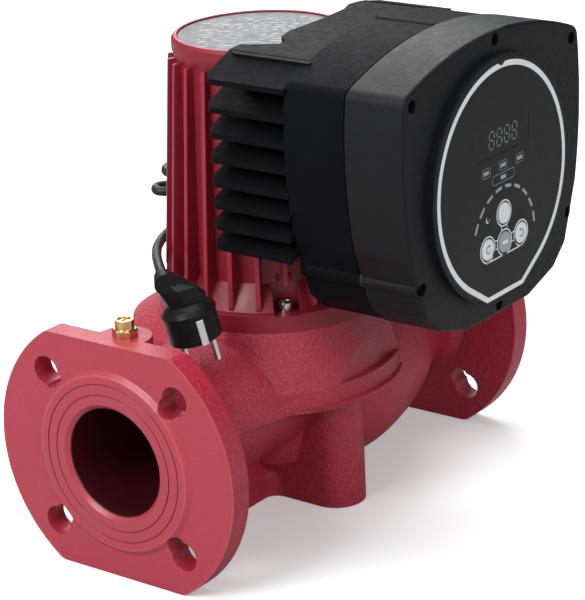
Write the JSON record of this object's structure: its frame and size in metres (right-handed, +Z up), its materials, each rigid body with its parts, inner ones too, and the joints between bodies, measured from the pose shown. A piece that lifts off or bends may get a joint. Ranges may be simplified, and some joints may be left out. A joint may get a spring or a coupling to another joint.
{
  "type": "circulator pump",
  "caption": "Flanged in-line circulator pump: cast volute with pipe flanges and foot, ribbed wet-rotor motor, finned control box with round key panel, mains cord and plug.",
  "frame": {"origin": "on the shaft axis at the level of the foot, which is also the level of the flanges' lower flats", "axes": "+X along the pipe from outlet to inlet flange, +Y away from the control panel, +Z up the motor shaft"},
  "size_m": [0.34, 0.2978, 0.3326],
  "materials": {
    "cast_red": "satin paint on rough casting",
    "motor_red": "satin paint on die casting",
    "case_black": "textured black coating",
    "cover_black": "fine moulded texture",
    "gasket_black": "matt",
    "screw_steel": "bright",
    "screw_black": "blackened",
    "plate_grey": "matt printed foil",
    "vent_brass": "machined",
    "foil_black": "semi-gloss foil",
    "window_smoke": "gloss",
    "display_dark": "matt",
    "lamp_white": "diffusing",
    "key_dark": "matt",
    "key_white": "matt",
    "board_green": "lacquered",
    "component_black": "moulded",
    "capacitor_sleeve": "shrunk sleeve",
    "terminal_grey": "moulded",
    "ribbon_grey": "flexible",
    "lead_insulation": "matt",
    "stator_steel": "stacked laminations",
    "winding_copper": "enamelled wire",
    "can_steel": "drawn",
    "rotor_black": "coated",
    "shaft_ceramic": "polished ceramic",
    "bearing_carbon": "matt carbon",
    "gland_black": "moulded",
    "cord_black": "matt sheath",
    "tie_black": "moulded",
    "pin_nickel": "nickel plated"
  },
  "bodies": {
    "pump": {"pump_housing": "cast_red", "motor_housing": "motor_red", "rear_case": "case_black", "front_cover": "cover_black", "cover_gasket": "gasket_black", "housing_oring": "gasket_black", "motor_screws": "screw_steel", "case_screws": "screw_steel", "board_screws": "screw_steel", "display_screws": "screw_steel", "terminal_screws": "screw_steel", "cover_screws": "screw_black", "type_plate": "plate_grey", "vent_fitting": "vent_brass", "panel_foil": "foil_black", "display_window": "window_smoke", "display_module": "display_dark", "mode_lamps": "lamp_white", "level_lamps": "lamp_white", "display_board": "board_green", "power_board": "board_green", "key_switches": "component_black", "power_module": "component_black", "choke": "component_black", "capacitors": "capacitor_sleeve", "terminal_block": "terminal_grey", "ribbon_cable": "ribbon_grey", "motor_leads": "lead_insulation", "cord_cores": "lead_insulation", "stator_core": "stator_steel", "stator_windings": "winding_copper", "rotor_can": "can_steel", "bearing_plate": "can_steel", "neck_ring": "can_steel", "lower_bearing": "bearing_carbon", "upper_bearing": "bearing_carbon", "thrust_bearing": "bearing_carbon", "cable_gland": "gland_black", "gland_nut": "gland_black", "cord_lead": "cord_black", "cord_tail": "cord_black", "cord_hank": "cord_black", "plug_body": "cord_black", "cord_tie": "tie_black", "plug_pins": "pin_nickel", "plug_earth_clips": "pin_nickel"},
    "rotor": {"shaft": "shaft_ceramic", "rotor_core": "rotor_black", "thrust_ring": "shaft_ceramic", "impeller": "can_steel", "impeller_nut": "screw_steel"},
    "vent_screw": {"vent_screw": "vent_brass"},
    "button_up": {"button_up": "key_white"},
    "button_enter": {"button_enter": "key_dark"},
    "button_left": {"button_left": "key_dark"},
    "button_right": {"button_right": "key_dark"}
  },
  "joints": [
    {"name": "rotor_spin", "type": "hinge", "parent": "pump", "child": "rotor", "pos_m": [0, 0, 0.2], "axis": [0, 0, 1], "continuous": true},
    {"name": "vent_turn", "type": "hinge", "parent": "pump", "child": "vent_screw", "pos_m": [-0.149, 0, 0.16], "axis": [0, 0, 1], "range_deg": [0, 360]},
    {"name": "press_up", "type": "slide", "parent": "pump", "child": "button_up", "axis": [0, 1, 0], "range_m": [0, 0.0006], "stiffness_N_per_m": 3500, "springref_m": -0.0001},
    {"name": "press_enter", "type": "slide", "parent": "pump", "child": "button_enter", "axis": [0, 1, 0], "range_m": [0, 0.0006], "stiffness_N_per_m": 3500, "springref_m": -0.0001},
    {"name": "press_left", "type": "slide", "parent": "pump", "child": "button_left", "axis": [0, 1, 0], "range_m": [0, 0.0006], "stiffness_N_per_m": 3500, "springref_m": -0.0001},
    {"name": "press_right", "type": "slide", "parent": "pump", "child": "button_right", "axis": [0, 1, 0], "range_m": [0, 0.0006], "stiffness_N_per_m": 3500, "springref_m": -0.0001}
  ]
}
